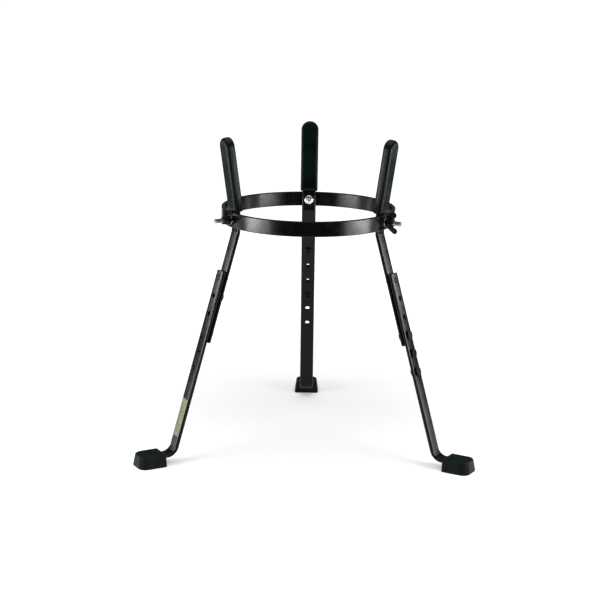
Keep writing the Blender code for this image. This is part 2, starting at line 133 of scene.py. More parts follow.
def cutWith(obj, tools):   # cuts closed tools out of an object and throws the tools away
    for tool in tools:
        cut = obj.modifiers.new(tool.name, "BOOLEAN")
        cut.object = tool
        cut.operation = "DIFFERENCE"
        cut.solver = "EXACT"
    baked(obj)
    for tool in tools:
        bpy.data.objects.remove(tool, do_unlink=True)
    return obj


def keepFlats(obj):   # shading normals lean to the large flat faces beside the rounded edges
    weigh = obj.modifiers.new("flat faces", "WEIGHTED_NORMAL")
    weigh.keep_sharp = True
    weigh.weight = 80
    return obj


def turned(x, radius, columns=48):
    # Surface turned round the X axis: (x, radius cos a, radius sin a), a going once round.
    angle = np.linspace(0, 2 * pi, columns, endpoint=False)
    x, radius = np.asarray(x, float)[:, None], np.asarray(radius, float)[:, None]
    return np.stack([x + 0 * angle, radius * np.cos(angle), radius * np.sin(angle)], -1)


def placedCopy(form, name, place):   # a copy of a small form, with its place in its mesh
    mesh = form.data.copy()
    mesh.transform(place)
    obj = bpy.data.objects.new(name, mesh)
    bpy.context.scene.collection.objects.link(obj)
    return obj


# Materials


def noiseNode(nodes, links, scale, detail, roughness=0.5):   # noise in the object's coordinates
    where = nodes.new("ShaderNodeTexCoord")
    noise = nodes.new("ShaderNodeTexNoise")
    noise.inputs["Scale"].default_value = scale
    noise.inputs["Detail"].default_value = detail
    noise.inputs["Roughness"].default_value = roughness
    links.new(where.outputs["Object"], noise.inputs["Vector"])
    return noise


def rangeNode(nodes, links, source, low, high, fromLow=0.3, fromHigh=0.7):
    span = nodes.new("ShaderNodeMapRange")
    span.inputs["From Min"].default_value = fromLow
    span.inputs["From Max"].default_value = fromHigh
    span.inputs["To Min"].default_value = low
    span.inputs["To Max"].default_value = high
    links.new(source, span.inputs["Value"])
    return span.outputs["Result"]


def colourNode(nodes, links, source, first, second, fromLow=0.35, fromHigh=0.7):
    ramp = nodes.new("ShaderNodeValToRGB")
    ramp.color_ramp.elements[0].position = fromLow
    ramp.color_ramp.elements[0].color = (*first, 1)
    ramp.color_ramp.elements[1].position = fromHigh
    ramp.color_ramp.elements[1].color = (*second, 1)
    links.new(source, ramp.inputs["Fac"])
    return ramp.outputs["Color"]


def bumpNode(nodes, links, source, strength, distance, below=None):
    bump = nodes.new("ShaderNodeBump")
    bump.inputs["Strength"].default_value = strength
    bump.inputs["Distance"].default_value = distance
    links.new(source, bump.inputs["Height"])
    if below:
        links.new(below, bump.inputs["Normal"])
    return bump.outputs["Normal"]


def finish(name, look):   # one material with colour, gloss and relief that vary over the surface
    material = bpy.data.materials.new(name)
    material.use_nodes = True
    nodes, links = material.node_tree.nodes, material.node_tree.links
    shader = nodes["Principled BSDF"]
    shader.inputs["Metallic"].default_value = look.get("metallic", 0)
    shader.inputs["Specular IOR Level"].default_value = look.get("specular", 0.5)
    patches = noiseNode(nodes, links, look["patchScale"], relief["patchDetail"])
    links.new(colourNode(nodes, links, patches.outputs["Fac"], look["colour"], look["worn"]),
              shader.inputs["Base Color"])
    links.new(rangeNode(nodes, links, patches.outputs["Fac"], *look["roughness"]),
              shader.inputs["Roughness"])
    wave = noiseNode(nodes, links, look["waveScale"], relief["waveDetail"])
    grain = noiseNode(nodes, links, look["grainScale"], relief["grainDetail"],
                      relief["grainRoughness"])
    waves = bumpNode(nodes, links, wave.outputs["Fac"], look["waveDepth"], relief["waveHeight"])
    links.new(bumpNode(nodes, links, grain.outputs["Fac"], look["grainDepth"],
                       relief["grainHeight"], waves), shader.inputs["Normal"])
    return material


relief = {"patchDetail": 4, "waveDetail": 2, "grainDetail": 5, "grainRoughness": 0.6,
          "waveHeight": 0.001, "grainHeight": 0.0003}
looks = {
    "enamel": {"colour": (0.0020, 0.0024, 0.0024), "worn": (0.0035, 0.004, 0.004),
               "roughness": (0.17, 0.25), "patchScale": 60, "waveScale": 260, "waveDepth": 0.04,
               "grainScale": 2400, "grainDepth": 0.04, "specular": 0.16},
    "sleeveRubber": {"colour": (0.0014, 0.0046, 0.0038), "worn": (0.0028, 0.0074, 0.0062),
                     "roughness": (0.26, 0.36), "patchScale": 45, "waveScale": 120,
                     "waveDepth": 0.10, "grainScale": 1500, "grainDepth": 0.20, "specular": 0.10},
    "footRubber": {"colour": (0.0012, 0.0042, 0.0036), "worn": (0.0030, 0.0074, 0.0062),
                   "roughness": (0.34, 0.50), "patchScale": 60, "waveScale": 150,
                   "waveDepth": 0.12, "grainScale": 1500, "grainDepth": 0.25, "specular": 0.10},
    "chrome": {"colour": (0.72, 0.72, 0.73), "worn": (0.60, 0.60, 0.61), "metallic": 1.0,
               "roughness": (0.24, 0.36), "patchScale": 300, "waveScale": 500, "waveDepth": 0.02,
               "grainScale": 4000, "grainDepth": 0.03},
    "washerZinc": {"colour": (0.50, 0.50, 0.51), "worn": (0.34, 0.34, 0.34), "metallic": 1.0,
                   "roughness": (0.28, 0.42), "patchScale": 400, "waveScale": 700,
                   "waveDepth": 0.05, "grainScale": 4000, "grainDepth": 0.08},
    "threadZinc": {"colour": (0.32, 0.32, 0.33), "worn": (0.15, 0.15, 0.15), "metallic": 1.0,
                   "roughness": (0.36, 0.50), "patchScale": 400, "waveScale": 700,
                   "waveDepth": 0.05, "grainScale": 4000, "grainDepth": 0.08},
    "blackZinc": {"colour": (0.007, 0.0058, 0.0052), "worn": (0.018, 0.014, 0.012), "metallic": 1.0,
                  "roughness": (0.26, 0.42), "patchScale": 350, "waveScale": 600,
                  "waveDepth": 0.10, "grainScale": 3500, "grainDepth": 0.12},
}


def dress(obj, look, body, slot, *nodes):   # finish, body and CAD nodes of one piece; slot is not used
    obj.data.materials.clear()
    obj.data.materials.append(finish(obj.name + "Finish", looks[look]))
    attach(obj, body)
    if nodes:
        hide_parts(*nodes)
    return obj


# Flat bar

bar = {
    "width": 0.026, "thickness": 0.0065, "edge": 0.003, "crown": 0.00024, "endCorner": 0.003,
    "endChamfer": 0.0005, "bendRadius": 0.015, "footBendRadius": 0.020, "gap": 0.0003,
    "holeRadius": 0.0045, "rimRadius": 0.0005,
    "rowEvery": 0.004, "leastBendRows": 4, "cornerColumns": 8, "faceColumns": 9,
    "narrowest": 0.15, "pinOverrun": 0.003,
    "tipRows": (0, 0.0002, 0.0005, 0.001, 0.0018, 0.0028), "archFrom": 0.003, "archRows": 12,
}

leg = {
    "sleeveLean": radians(8.6), "legLean": radians(16.8),
    "upperBendHeight": 0.4385, "lowerBendHeight": 0.402, "hoopHeight": 0.424,
    "firstHole": 0.084, "pitch": 0.033, "upperHoles": 4, "lowerHoles": 6,
    "upperMargin": 0.017, "lowerMargin": 0.0123,
    "sleeveRun": 0.126, "footBarHeight": 0.01525, "footStandoff": 0.005, "barInFoot": 0.038,
    "hoopInside": 0.1485, "hoopFacets": 72,
}


def barOutline(grow=0.0, crown=0.0):
    # Closed outline (across, through): quarter circles at the corners, and between them faces at
    # through = halfThrough - crown * (across / halfAcross)^2, so that each face bulges a little.
    halfAcross, halfThrough = bar["width"] / 2 + grow, bar["thickness"] / 2 + grow
    corner = bar["edge"] + grow
    reach = halfAcross - corner
    shoulder = halfThrough - crown * (reach / halfAcross) ** 2 - corner
    quarter = np.linspace(0, pi / 2, bar["cornerColumns"])
    face = np.linspace(reach, -reach, bar["faceColumns"] + 2)[1:-1]
    rise = halfThrough - crown * (face / halfAcross) ** 2
    across = np.concatenate([reach + corner * np.cos(quarter), face,
                             -reach - corner * np.sin(quarter)])
    through = np.concatenate([shoulder + corner * np.sin(quarter), rise,
                              shoulder + corner * np.cos(quarter)])
    return np.concatenate([across, -across]), np.concatenate([through, -through])


def cornerOutline(halfAcross, halfThrough, corner, steps):
    # Closed outline (across, through): four quarter circles joined by straight sides.
    angles = (np.linspace(0, pi / 2, steps + 1)[None] + np.arange(4)[:, None] * pi / 2)
    signs = np.array([(1, 1), (-1, 1), (-1, -1), (1, -1)])
    across = signs[:, :1] * (halfAcross - corner) + corner * np.cos(angles)
    through = signs[:, 1:] * (halfThrough - corner) + corner * np.sin(angles)
    return across.ravel(), through.ravel()


def barPath(start, heading, runs, radius, bendStep=radians(2.5)):
    # Middle line of a bent bar: straight runs, each with a round bend after it. Headings are
    # measured from straight up towards outward, and a place is the sum of the steps before it.
    lengths, headings, now = [], [], heading
    for run, turn in runs:
        pieces = max(2, int(run / bar["rowEvery"]))
        lengths.append(np.full(pieces, run / pieces))
        headings.append(np.full(pieces, now))
        if turn:
            count = max(bar["leastBendRows"], round(abs(turn) / bendStep))
            part = turn / count
            lengths.append(np.full(count, 2 * radius * sin(abs(part) / 2)))
            headings.append(now + part * (np.arange(count) + 0.5))
            now += turn
    lengths, headings = np.concatenate(lengths), np.concatenate(headings)
    x = start[0] + np.concatenate([[0], np.cumsum(lengths * np.sin(headings))])
    z = start[1] + np.concatenate([[0], np.cumsum(lengths * np.cos(headings))])
    middle = np.concatenate([[headings[0]], (headings[1:] + headings[:-1]) / 2, [headings[-1]]])
    return x, z, middle, np.concatenate([[0], np.cumsum(lengths)])


def barGrid(path, outline, endCorner=None):
    # The outline carried along the path. Near an end its width shrinks as a quarter circle does,
    # which rounds the end's corners, and a chamfer thins the very tip. A corner as wide as half
    # the bar makes a round end, the arch inside a sleeve, and has rows of its own.
    x, z, heading, along = path
    keepStart, keepEnd = bar["endCorner"], endCorner or bar["endCorner"]
    tips = np.array(bar["tipRows"])
    extra = np.concatenate([tips, along[-1] - tips])
    if keepEnd > bar["endCorner"]:
        arch = np.linspace(bar["archFrom"], keepEnd, bar["archRows"])
        extra = np.concatenate([extra, along[-1] - arch])
    places = np.unique(np.concatenate([along, extra]).round(7))
    x, z, heading = (np.interp(places, along, line) for line in (x, z, heading))
    across, through = outline
    half = across.max()
    fromStart, fromEnd = places, places[-1] - places
    inset = np.zeros_like(places)
    for corner, distance in ((keepStart, fromStart), (keepEnd, fromEnd)):
        near = np.clip(corner - distance, 0, corner)
        inset = np.maximum(inset, corner - np.sqrt(corner ** 2 - near ** 2))
    cut = np.maximum(bar["endChamfer"] - np.minimum(fromStart, fromEnd), 0)
    thin = 1 - cut / bar["thickness"] * 2
    width = across[None] * np.maximum(1 - inset / half, bar["narrowest"])[:, None]
    depth = through[None] * thin[:, None]
    return np.stack([x[:, None] + depth * np.cos(heading)[:, None], width,
                     z[:, None] - depth * np.sin(heading)[:, None]], -1)


def pinGrid(half, radius, flare, columns=40):
    # A pin along X. Its radius grows in a quarter circle where it leaves each face of the bar,
    # so that the hole it cuts has rounded rims.
    turn = np.linspace(0, pi / 2, 6)
    out = half - flare + flare * np.cos(turn)
    wide = radius + flare - flare * np.sin(turn)
    past = bar["pinOverrun"]
    depth = np.concatenate([[half + past], out, -out[::-1], [-half - past]])
    reach = np.concatenate([[radius + flare + past], wide, wide[::-1], [radius + flare + past]])
    return turned(depth, reach, columns)


def crossAxis(distance, outward=0.0):   # matrix that lays X square through the bars down the leg
    lean = leg["legLean"]
    x = leg["barX"] + distance * sin(lean) + outward * cos(lean)
    z = leg["lowerBendHeight"] - distance * cos(lean) + outward * sin(lean)
    return Matrix.Translation((x, 0, z)) @ Matrix.Rotation(-lean, 4, "Y")


def legPin(place, legName):   # a pin for one hole of a leg
    pin = closedGrid("pin", pinGrid(bar["thickness"] / 2, bar["holeRadius"], bar["rimRadius"]))
    pin.data.transform(legMatrix(legName) @ place)
    return pin


def drilled(name, grid, places, legName):
    obj = closedGrid(name, onLeg(grid, legName))
    cutWith(obj, [legPin(place, legName) for place in places])
    return keepFlats(smooth(obj, 40))


innerRadius = leg["hoopInside"] * cos(pi / leg["hoopFacets"])   # to the flats of the CAD's hoop
leg["barX"] = (sqrt(innerRadius ** 2 - (bar["width"] / 2 - bar["edge"]) ** 2)
               - bar["gap"] - bar["thickness"] / 2)
leg["lap"] = bar["thickness"] + bar["gap"]
leg["footTurn"] = pi / 2 - leg["legLean"]
cornerDrop = leg["lowerBendHeight"] + leg["lap"] * sin(leg["legLean"]) - leg["footBarHeight"]
cornerDistance = cornerDrop / cos(leg["legLean"])
bendAt = bar["bendRadius"] * tan(leg["legLean"] / 2)
sleeveAt = bar["bendRadius"] * tan(leg["sleeveLean"] / 2)
footBendAt = bar["footBendRadius"] * tan(leg["footTurn"] / 2)
footCorner = crossAxis(cornerDistance, leg["lap"]).translation
leg["footX"] = footCorner.x + footBendAt + leg["footStandoff"]
holePlaces = leg["firstHole"] + np.arange(leg["lowerHoles"]) * leg["pitch"]
upperEnd = leg["firstHole"] + (leg["upperHoles"] - 1) * leg["pitch"] + leg["upperMargin"]
lowerEnd = leg["firstHole"] - leg["lowerMargin"]
upperFoot = crossAxis(upperEnd).translation
upperPath = barPath((upperFoot.x, upperFoot.z), -leg["legLean"],
                    [(upperEnd - bendAt, leg["legLean"]),
                     (leg["upperBendHeight"] - leg["lowerBendHeight"] - bendAt - sleeveAt,
                      leg["sleeveLean"]),
                     (leg["sleeveRun"], 0)], bar["bendRadius"])
lowerPath = barPath((leg["footX"] + leg["barInFoot"], leg["footBarHeight"]), -pi / 2,
                    [(leg["footStandoff"] + leg["barInFoot"], leg["footTurn"]),
                     (cornerDistance - footBendAt - lowerEnd, 0)], bar["footBendRadius"])
barShape, pocketShape = barOutline(0, bar["crown"]), barOutline(bar["gap"])
upperGrid, lowerGrid = barGrid(upperPath, barShape, bar["width"] / 2), barGrid(lowerPath, barShape)

for legName in stand["azimuths"]:
    places = [crossAxis(place) for place in holePlaces[:leg["upperHoles"]]]
    places.append(Matrix.Translation((leg["barX"], 0, leg["hoopHeight"])))
    upper = drilled(legName + "UpperBar", upperGrid, places, legName)
    dress(upper, "enamel", "hoop_frame", "black_enamel", legName + "_upper_bar")
    places = [crossAxis(place, leg["lap"]) for place in holePlaces]
    lower = drilled(legName + "LowerBar", lowerGrid, places, legName)
    dress(lower, "enamel", legName + "_lower_leg", "black_enamel", legName + "_lower_bar")
print("bars bent and drilled")


# Hoop

hoop = {"outer": 0.155, "wall": 0.0065, "height": 0.026, "edge": 0.0012, "cornerSteps": 5,
        "steps": 288}


def buildHoop():
    # A rounded rectangle carried round a circle.
    out, up = cornerOutline(hoop["wall"] / 2, hoop["height"] / 2, hoop["edge"], hoop["cornerSteps"])
    angle = np.linspace(0, 2 * pi, hoop["steps"], endpoint=False)
    reach = hoop["outer"] - hoop["wall"] / 2 + out[None]
    grid = np.stack([reach * np.cos(angle)[:, None] + stand["axis"].x,
                     reach * np.sin(angle)[:, None] + stand["axis"].y,
                     np.broadcast_to(leg["hoopHeight"] + up[None], (len(angle), len(up)))], -1)
    obj = tubeGrid("hoop", grid)
    place = Matrix.Translation((hoop["outer"] - hoop["wall"] / 2, 0, leg["hoopHeight"]))
    cutWith(obj, [legPin(place, legName) for legName in stand["azimuths"]])
    keepFlats(smooth(obj, 40))
    dress(obj, "enamel", "hoop_frame", "black_enamel", "support_ring")


buildHoop()
print("hoop rolled")


# Rubber sleeves

sleeve = {"length": 0.1295, "sideWall": 0.0025, "faceWall": 0.005, "edge": 0.0055,
          "seamWidth": 0.0006, "seamHeight": 0.0002, "flatRows": (0.0008, 0.003, 0.007),
          "middle": 0.0004, "edgeRows": 8, "archColumns": 41, "sideColumns": 20, "baseColumns": 7}


def sleeveGrid():
    # A slab whose front view is a tall shape with a half-round top. Loops of that shape shrink
    # from the side wall towards the middle of each face along a quarter circle, then stay flat.
    # A fine moulding seam runs round the middle of the side wall.
    half = bar["width"] / 2 + bar["gap"] + sleeve["sideWall"]
    thick = bar["thickness"] / 2 + bar["gap"] + sleeve["faceWall"]
    edge = sleeve["edge"]
    turn = np.linspace(0, pi / 2, sleeve["edgeRows"])
    flat = edge + np.array([*sleeve["flatRows"], half - edge - sleeve["middle"]])
    inset = np.concatenate([[-sleeve["seamHeight"], 0], edge * (1 - np.cos(turn)), flat])
    depth = np.concatenate([[0, sleeve["seamWidth"]], thick - edge + edge * np.sin(turn),
                            np.full(len(flat), thick)])
    inset = np.concatenate([inset[:0:-1], inset])
    depth = np.concatenate([-depth[:0:-1], depth])
    top = np.linspace(0, pi, sleeve["archColumns"])
    reach = (half - inset)[:, None]
    lift = (sleeve["length"] - half) + reach * np.sin(top)[None]
    arch = reach * np.cos(top)[None]
    foot = np.clip(inset, 0, edge)[:, None]
    fall = np.linspace(1, 0, sleeve["sideColumns"])[None, 1:]
    leftSide = foot + (sleeve["length"] - half - foot) * fall
    base = np.linspace(-1, 1, sleeve["baseColumns"] + 2)[None, 1:-1]
    across = np.concatenate([arch, -reach + 0 * leftSide, reach * base, reach + 0 * leftSide], 1)
    height = np.concatenate([lift, leftSide, foot + 0 * base, leftSide[:, ::-1]], 1)
    return np.stack([np.broadcast_to(depth[:, None], across.shape), across, height], -1)


def leanSleeve(grid):   # stands the sleeve on the leaning end of the upper bar
    start = sleeveAt + bar["gap"]
    lean = leg["sleeveLean"]
    x, y, z = np.moveaxis(grid, -1, 0)
    return np.stack([leg["barX"] + (start + z) * sin(lean) + x * cos(lean), y,
                     leg["upperBendHeight"] + (start + z) * cos(lean) - x * sin(lean)], -1)


for legName in stand["azimuths"]:
    obj = closedGrid(legName + "Sleeve", onLeg(leanSleeve(sleeveGrid()), legName))
    pocket = closedGrid("pocket", onLeg(barGrid(upperPath, pocketShape, bar["width"] / 2), legName))
    keepFlats(smooth(cutWith(obj, [pocket]), 40))
    dress(obj, "sleeveRubber", "hoop_frame", "sleeve_rubber", legName + "_support_sleeve")
print("sleeves moulded")


# Rubber feet

foot = {"length": 0.050, "height": 0.0225, "sideWall": 0.0102, "draft": 0.0025,
        "outerCorner": 0.014, "innerCorner": 0.004, "topFillet": 0.0035, "soleFillet": 0.0015,
        "leastCorner": 0.0004, "middleInset": 0.016, "soleInset": 0.006, "topInset": 0.002,
        "filletRows": 7, "sideRows": 4, "cornerColumns": 11, "treadColumns": 16,
        "treads": 5, "treadPitch": 0.0068, "treadWidth": 0.0016, "treadDepth": 0.0009,
        "treadMargin": 0.005, "treadShift": -0.003, "treadTip": 0.0004, "treadTaper": 0.4}


def footGrid():
    # The plan is a rounded rectangle. It shrinks from the sole to the top by the draft, except at
    # the inner end, and along a quarter circle at the sole's edge and at the top's edge.
    half = bar["width"] / 2 + bar["gap"] + foot["sideWall"]
    turn = np.linspace(0, pi / 2, foot["filletRows"])
    sole, top, tall = foot["soleFillet"], foot["topFillet"], foot["height"]
    rise = np.linspace(0, 1, foot["sideRows"] + 2)[1:-1]
    inset = np.concatenate([[foot["middleInset"], foot["soleInset"]], sole * (1 - np.sin(turn)),
                            0 * rise, top * (1 - np.cos(turn)),
                            [top + foot["topInset"], foot["middleInset"]]])
    height = np.concatenate([[0, 0], sole * (1 - np.cos(turn)), sole + (tall - top - sole) * rise,
                             tall - top + top * np.sin(turn), [tall, tall]])
    draft = foot["draft"] * np.clip((height - sole) / (tall - top - sole), 0, 1)
    outer, inner = foot["outerCorner"], foot["innerCorner"]
    corners = np.array([outer, inner, inner, outer])
    angles = np.linspace(0, pi / 2, foot["cornerColumns"])[None] + np.arange(4)[:, None] * pi / 2
    signs = np.array([(1, 1), (-1, 1), (-1, -1), (1, -1)])
    bend = np.maximum(corners[None] - inset[:, None], foot["leastCorner"])[:, :, None]
    halfLength = ((foot["length"] - draft) / 2 - inset)[:, None, None]
    halfWidth = (half - draft - inset)[:, None, None]
    lean = draft[:, None, None] / 2
    x = signs[None, :, :1] * (halfLength - bend) + bend * np.cos(angles)[None] - lean
    y = signs[None, :, 1:] * (halfWidth - bend) + bend * np.sin(angles)[None]
    x = x.reshape(len(inset), -1) + leg["footX"] + foot["length"] / 2
    return np.stack([x, y.reshape(len(inset), -1), np.broadcast_to(height[:, None], x.shape)], -1)


def treadGrid(place):
    # A groove across the sole: a half-round channel that stops short of the foot's edges.
    half = bar["width"] / 2 + foot["sideWall"] - foot["treadMargin"]
    tip, taper = foot["treadTip"], foot["treadTaper"]
    angle = np.linspace(0, 2 * pi, foot["treadColumns"], endpoint=False)
    y = np.array([-half, -half + tip, half - tip, half])
    size = np.array([taper, 1, 1, taper])[:, None]
    x = place + size * foot["treadWidth"] / 2 * np.cos(angle)[None]
    return np.stack([x, y[:, None] + 0 * x, size * foot["treadDepth"] * np.sin(angle)[None]], -1)


for legName in stand["azimuths"]:
    obj = closedGrid(legName + "Foot", onLeg(footGrid(), legName))
    pocket = closedGrid("pocket", onLeg(barGrid(lowerPath, pocketShape), legName))
    middle = leg["footX"] + foot["length"] / 2 + foot["treadShift"]
    rows = middle + (np.arange(foot["treads"]) - (foot["treads"] - 1) / 2) * foot["treadPitch"]
    treads = [closedGrid("tread", onLeg(treadGrid(row), legName)) for row in rows]
    keepFlats(smooth(cutWith(obj, [pocket] + treads), 40))
    dress(obj, "footRubber", legName + "_lower_leg", "foot_rubber", legName + "_rubber_foot")
print("feet moulded")


# Ring bolts: domed head with a cross recess, and a rolled thread. X points along the bolt, and
# fillet lists distances from the head with what they add to the radius.

ringBolt = {"radius": 0.004, "length": 0.045, "headRadius": 0.0085, "headHeight": 0.0045,
            "rim": 0.0011, "threadFrom": 0.012, "pitch": 0.00125, "threadDepth": 0.0006,
            "rowsPerPitch": 7, "columns": 42, "fadeIn": 0.0015, "fadeOut": 0.0008,
            "coneLength": 0.0011, "coneSlope": 0.7, "endInset": 0.0009, "plainEnd": 0.0002,
            "fillet": [(0.00002, 0.0005), (0.0002, 0.0002), (0.0005, 0.00005), (0.001, 0),
                       (0.005, 0)],
            "recessWidth": 0.0088, "recessSlot": 0.0024, "recessDepth": 0.0026,
            "recessTip": 0.0003, "recessRound": 0.0004,
            "recessShoulder": (0.62, 0.9), "recessFloor": (0.5, 0.8),
            "spins": {"back": radians(12), "left": radians(40), "right": radians(-25)}}


def headProfile(radius, height, rim, steps=14):
    # Side view of a domed head from its top to its underside: a quarter ellipse, then a short rim
    # with a rounded lower edge.
    turn = np.linspace(pi / 2, 0, steps)
    x = np.concatenate([-rim - (height - rim) * np.sin(turn), [-0.0002, 0]])
    r = np.concatenate([radius * np.cos(turn) + 0.00005, [radius, radius - 0.0002]])
    return x, r


def threadedBolt():
    # radius = shank - depth * (1 - cos(2 pi (x / pitch - angle / 2 pi))) / 2 where the thread runs.
    # The shank has a small fillet under the head, and the thread's last turn narrows to a cone.
    headX, headR = headProfile(ringBolt["headRadius"], ringBolt["headHeight"], ringBolt["rim"])
    radius, end = ringBolt["radius"], ringBolt["length"]
    start = ringBolt["threadFrom"]
    shankX, extra = np.array([*ringBolt["fillet"], (start - 0.001, 0)]).T
    shankR = radius + extra
    threadX = np.arange(start, end - ringBolt["plainEnd"],
                        ringBolt["pitch"] / ringBolt["rowsPerPitch"])
    cone = np.maximum(threadX - end + ringBolt["coneLength"], 0) * ringBolt["coneSlope"]
    x = np.concatenate([headX, shankX, threadX, [end, end]])
    r = np.concatenate([headR, shankR, radius - cone, [radius - ringBolt["endInset"], 0.0001]])
    grid = turned(x, r, ringBolt["columns"])
    share = np.linspace(0, 1, ringBolt["columns"], endpoint=False)[None]
    fade = (np.clip((x - start) / ringBolt["fadeIn"], 0, 1)
            * np.clip((end - x) / ringBolt["fadeOut"], 0, 1))
    groove = 0.5 - 0.5 * np.cos(2 * pi * (x[:, None] / ringBolt["pitch"] - share))
    dip = ringBolt["threadDepth"] * fade[:, None] * groove
    grid[..., 1:] *= (1 - dip / np.maximum(r[:, None], 0.001))[..., None]
    return closedGrid("ringBoltForm", grid)


def crossTool():
    # A cross with four equal arms, narrowing to half its reach at the bottom of the recess.
    arm, slot = ringBolt["recessWidth"] / 2, ringBolt["recessSlot"] / 2
    top, floor = -ringBolt["headHeight"], ringBolt["recessDepth"] - ringBolt["headHeight"]
    tip, corner = ringBolt["recessTip"], ringBolt["recessRound"]
    levels = [(2 * top, 1, 1), (top, 1, 1), (floor - tip, *ringBolt["recessShoulder"]),
              (floor, *ringBolt["recessFloor"])]
    rows = []
    for x, share, thin in levels:
        reach, half = arm * share, slot * thin
        quarter = np.array([(reach - tip, -half), (reach, -half + corner), (reach, half - corner),
                            (reach - tip, half), (half, half)])
        outline = np.concatenate([quarter @ np.array([(cos(a), sin(a)), (-sin(a), cos(a))])
                                  for a in np.arange(4) * pi / 2])
        rows.append(np.concatenate([np.full((len(outline), 1), x), outline], 1))
    return closedGrid("crossRecess", np.array(rows))


ringBoltForm = smooth(cutWith(threadedBolt(), [crossTool()]), 35)
faceMiddles = np.empty(len(ringBoltForm.data.polygons) * 3)
ringBoltForm.data.polygons.foreach_get("center", faceMiddles)
onShank = faceMiddles[::3] > 0.0001   # faces past the head's underside wear the thread's finish
seat = leg["barX"] - bar["thickness"] / 2 - bar["gap"]
for legName, spin in ringBolt["spins"].items():
    place = (legMatrix(legName) @ Matrix.Translation((seat, 0, leg["hoopHeight"]))
             @ Matrix.Rotation(spin, 4, "X"))
    obj = placedCopy(ringBoltForm, legName + "RingBolt", place)
    dress(obj, "chrome", "hoop_frame", "bright_chrome", legName + "_ring_bolt")
    obj.data.materials.append(finish(legName + "ThreadFinish", looks["threadZinc"]))
    obj.data.polygons.foreach_set("material_index", onShank.astype(np.int32))
bpy.data.objects.remove(ringBoltForm, do_unlink=True)
print("ring bolts turned")


# Washers: stamped, with one rounded and one sharper edge

washer = {"hole": 0.0045, "outer": 0.008, "thick": 0.0016, "edge": 0.0005, "burr": 0.0002,
          "cornerRows": 5, "columns": 64}


def washerGrid():
    # The washer's section is a rounded rectangle (x, radius), carried round the X axis.
    turn = np.linspace(0, pi / 2, washer["cornerRows"])
    hole, outer, thick = washer["hole"], washer["outer"], washer["thick"]
    edge, burr = washer["edge"], washer["burr"]
    x = np.concatenate([burr - burr * np.cos(turn), thick - edge + edge * np.sin(turn),
                        thick - burr + burr * np.cos(turn), burr - burr * np.sin(turn)])
    r = np.concatenate([outer - burr + burr * np.sin(turn), outer - edge + edge * np.cos(turn),
                        hole + burr - burr * np.sin(turn), hole + burr - burr * np.cos(turn)])
    angle = np.linspace(0, 2 * pi, washer["columns"], endpoint=False)[:, None]
    return np.stack([x[None] + 0 * angle, r[None] * np.cos(angle), r[None] * np.sin(angle)], -1)


washerSeat = Matrix.Translation((hoop["outer"] + bar["gap"], 0, leg["hoopHeight"]))
for legName in stand["azimuths"]:
    place = legMatrix(legName) @ washerSeat
    obj = tubeGrid(legName + "Washer", washerGrid())
    obj.data.transform(place)
    keepFlats(smooth(obj, 40))
    dress(obj, "washerZinc", "hoop_frame", "washer_zinc", legName + "_ring_washer")
print("washers stamped")


# Wing nuts: a cast hub with two flared wings that flow into it. Each bevel is its height along
# the bolt and what it takes off the radius.

wingNut = {"base": 0.008, "top": 0.00675, "height": 0.0145, "bore": 0.0043, "flange": 0.0029,
           "rootAt": (0.0054, 0.0083), "rootRadius": 0.0039, "tipAt": (0.0149, 0.0144),
           "tipRadius": 0.0051, "thick": 0.0036, "soft": 0.0012, "boreRim": 0.0006,
           "tipColumns": 20, "rootColumns": 14, "edgeRows": 5, "baseBevel": (0.0008, 0.0006),
           "shoulder": (0.0006, 0.0005), "topBevel": (0.001, 0.001), "middle": 0.001,
           "voxel": 0.00042, "smoothing": 7,
           "turns": {"back": radians(0), "left": radians(-78), "right": radians(8)}}


def wingGrid(side):
    # Loops of one outline, an arc round the tip and an arc round the root, shrink towards the
    # wing's faces along a quarter circle. The rows run through the wing's thickness.
    root, tip = np.array(wingNut["rootAt"]), np.array(wingNut["tipAt"])
    along = tip - root
    heading = np.arctan2(along[1], along[0])
    spread = np.arccos((wingNut["rootRadius"] - wingNut["tipRadius"]) / np.hypot(*along))
    tipArc = heading + np.linspace(-spread, spread, wingNut["tipColumns"])
    rootArc = heading + np.linspace(spread, 2 * pi - spread, wingNut["rootColumns"])
    half, soft = wingNut["thick"] / 2, wingNut["soft"]
    turn = np.linspace(0, pi / 2, wingNut["edgeRows"])
    inset = np.concatenate([soft * (1 - np.sin(turn)), soft * (1 - np.cos(turn))])
    y = np.concatenate([-half + soft * (1 - np.cos(turn)), half - soft + soft * np.sin(turn)])
    tipRing = np.array([np.cos(tipArc), np.sin(tipArc)])
    rootRing = np.array([np.cos(rootArc), np.sin(rootArc)])
    rows = []
    for shrink, level in zip(inset, y):
        tipLoop = tip[:, None] + (wingNut["tipRadius"] - shrink) * tipRing
        rootLoop = root[:, None] + (wingNut["rootRadius"] - shrink) * rootRing
        loop = np.concatenate([tipLoop, rootLoop], 1)
        rows.append(np.stack([loop[0], np.full(loop.shape[1], level), side * loop[1]], -1))
    return np.array(rows)


